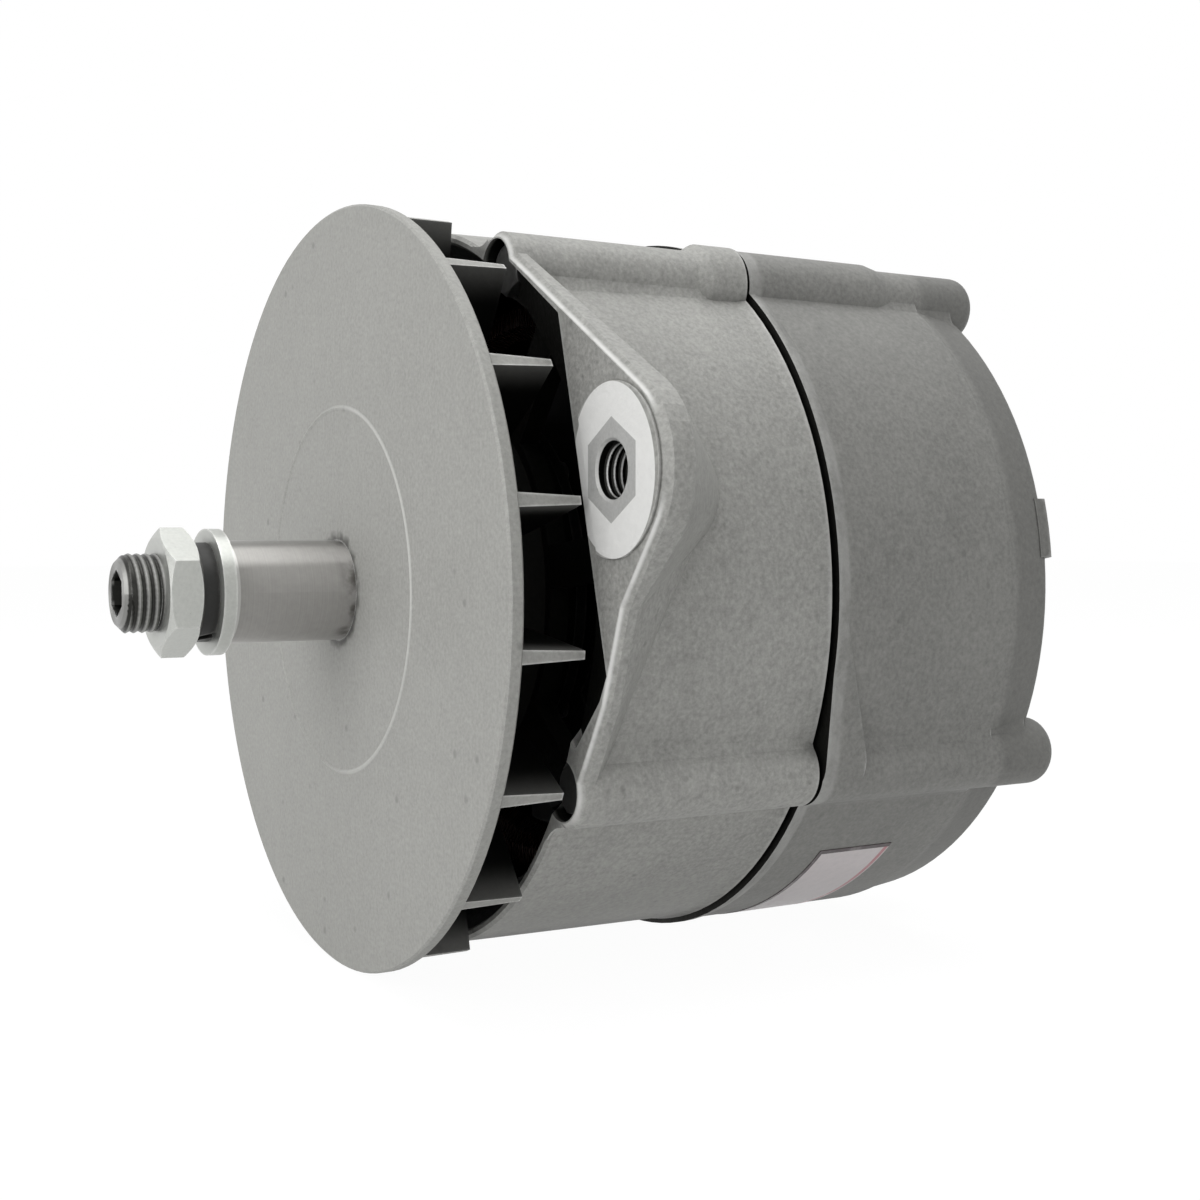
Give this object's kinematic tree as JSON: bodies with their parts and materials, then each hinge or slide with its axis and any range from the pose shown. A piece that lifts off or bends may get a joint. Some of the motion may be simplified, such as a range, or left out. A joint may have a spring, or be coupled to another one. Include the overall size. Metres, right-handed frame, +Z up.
{
  "type": "alternator",
  "caption": "Heavy-duty alternator with external radial fan, two cast shells, threaded tensioner lug, pivot eyes, plain pulley seat and rear brush regulator.",
  "frame": {"origin": "on the shaft axis in the front face of the fan, where the pulley seats", "axes": "-Y along the shaft towards the pulley nut, +Y towards the terminals, +Z up, +X on the side of the tensioner lug"},
  "size_m": [0.2435, 0.2317, 0.19],
  "materials": {
    "cast_front": "blasted casting",
    "cast_rear": "blasted casting",
    "fan_alloy": "blasted casting",
    "shaft_steel": "turned and ground",
    "zinc_plate": "zinc plated",
    "spring_steel": "plain",
    "bright_steel": "ground",
    "pressed_brass": "plain",
    "bolt_steel": "phosphated",
    "retainer_sheet": "pressed sheet",
    "seal_rubber": "matte",
    "pole_iron": "forged",
    "lamination_steel": "stacked sheets",
    "enamelled_copper": "varnished",
    "bobbin_plastic": "moulded",
    "ring_copper": "turned",
    "sink_alloy": "plain",
    "diode_metal": "plated",
    "black_moulding": "moulded",
    "carbon": "pressed carbon",
    "capacitor_can": "drawn can"
  },
  "bodies": {
    "housing": {"front_shell": "cast_front", "rear_shell": "cast_rear", "front_bearing_outer": "bright_steel", "rear_bearing_outer": "bright_steel", "front_seal": "seal_rubber", "bearing_retainer": "retainer_sheet", "retainer_screws": "bolt_steel", "stator_core": "lamination_steel", "stator_windings": "enamelled_copper", "phase_leads": "enamelled_copper", "through_bolts": "bolt_steel", "bolt_washers": "spring_steel", "lug_insert": "bright_steel", "pivot_bush_front": "bright_steel", "pivot_bush_rear": "bright_steel", "positive_plate": "sink_alloy", "negative_plate": "sink_alloy", "positive_diodes": "diode_metal", "negative_diodes": "diode_metal", "rectifier_insulators": "black_moulding", "rectifier_screws": "bolt_steel", "brush_holder": "black_moulding", "regulator": "sink_alloy", "regulator_screws": "bolt_steel", "positive_stud": "pressed_brass", "stud_insulator": "black_moulding", "stud_nuts": "zinc_plate", "signal_terminals": "pressed_brass", "signal_insulators": "black_moulding", "capacitor": "capacitor_can", "capacitor_clip": "zinc_plate", "brush_spring_inner": "spring_steel", "brush_spring_outer": "spring_steel"},
    "rotor": {"rotor_shaft": "shaft_steel", "shaft_nut": "zinc_plate", "lock_washer": "spring_steel", "plain_washer": "zinc_plate", "fan_disc": "fan_alloy", "fan_blades": "fan_alloy", "fan_spacer": "bright_steel", "front_bearing_inner": "bright_steel", "rear_bearing_inner": "bright_steel", "claw_pole_front": "pole_iron", "claw_pole_rear": "pole_iron", "pole_core": "pole_iron", "field_bobbin": "bobbin_plastic", "field_coil": "enamelled_copper", "slip_ring_carrier": "bobbin_plastic", "slip_rings": "ring_copper"},
    "front_ball_set": {"front_balls": "bright_steel", "front_cage": "pressed_brass"},
    "rear_ball_set": {"rear_balls": "bright_steel", "rear_cage": "pressed_brass"},
    "brush_inner": {"brush_inner": "carbon"},
    "brush_outer": {"brush_outer": "carbon"}
  },
  "joints": [
    {"name": "rotor_spin", "type": "hinge", "parent": "housing", "child": "rotor", "pos_m": [0, 0, 0], "axis": [0, -1, 0], "continuous": true},
    {"name": "front_balls_spin", "type": "hinge", "parent": "housing", "child": "front_ball_set", "pos_m": [0, 0.0335, 0], "axis": [0, -1, 0], "continuous": true},
    {"name": "rear_balls_spin", "type": "hinge", "parent": "housing", "child": "rear_ball_set", "pos_m": [0, 0.1402, 0], "axis": [0, -1, 0], "continuous": true},
    {"name": "brush_inner_slide", "type": "slide", "parent": "housing", "child": "brush_inner", "axis": [0.2588, 0, -0.9659], "range_m": [0, 0.003], "stiffness_N_per_m": 200, "springref_m": -0.01, "deforming": ["brush_spring_inner"]},
    {"name": "brush_outer_slide", "type": "slide", "parent": "housing", "child": "brush_outer", "axis": [0.2588, 0, -0.9659], "range_m": [0, 0.003], "stiffness_N_per_m": 200, "springref_m": -0.01, "deforming": ["brush_spring_outer"]}
  ],
  "couplings": [
    {"joint": "front_balls_spin", "follows": "rotor_spin", "ratio": 0.3765},
    {"joint": "rear_balls_spin", "follows": "rotor_spin", "ratio": 0.3791}
  ]
}
